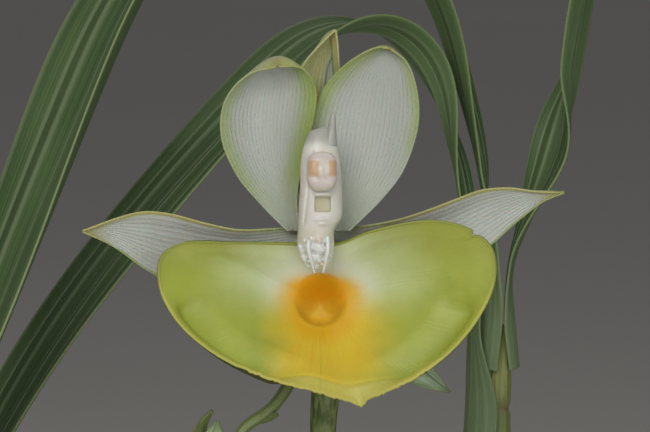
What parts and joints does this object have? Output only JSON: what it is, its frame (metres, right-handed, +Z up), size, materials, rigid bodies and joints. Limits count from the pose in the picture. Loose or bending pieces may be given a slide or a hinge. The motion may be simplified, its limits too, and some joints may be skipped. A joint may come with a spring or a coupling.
{
  "type": "potted orchid plant",
  "caption": "Potted catasetum orchid: one open white and yellow-green flower with a broad bowl lip, buds, arching pleated leaves and pseudobulbs in bark in a plain clay pot.",
  "frame": {"origin": "middle of the pot's underside, on the surface it stands on", "axes": "+Z up; the flower faces -Y, tilted 8 degrees upward; +X to the right of someone who looks at the flower"},
  "size_m": [0.3037, 0.2065, 0.3798],
  "materials": {
    "clay": "matt fired clay",
    "bark": "rough damp bark chips",
    "root": "matt corky skin",
    "bulb": "satin ribbed skin",
    "dry_sheath": "dry papery",
    "leaf": "soft satin, pleated",
    "stem": "satin",
    "sepal": "satin, white green",
    "petal": "satin, white with green margins",
    "lip": "waxy yellow green with an orange sac",
    "column": "glossy cream",
    "anther": "glossy cream with tan patches",
    "bud": "satin pale green"
  },
  "bodies": {
    "root": {"pot": "clay", "potting_mix": "bark", "rhizome_with_roots": "root", "pseudobulb_lead": "bulb", "pseudobulb_second": "bulb", "pseudobulb_third": "bulb", "dry_sheath_lead": "dry_sheath", "dry_sheath_second": "dry_sheath", "dry_sheath_third": "dry_sheath", "leaf_1": "leaf", "leaf_2": "leaf", "leaf_3": "leaf", "leaf_4": "leaf", "leaf_5": "leaf", "leaf_6": "leaf", "flower_spike": "stem", "dorsal_sepal": "sepal", "lateral_sepal_left": "sepal", "lateral_sepal_right": "sepal", "petal_left": "petal", "petal_right": "petal", "lip": "lip", "column": "column", "anther_cap": "anther", "bud_small": "bud", "bud_large": "bud"}
  },
  "joints": []
}
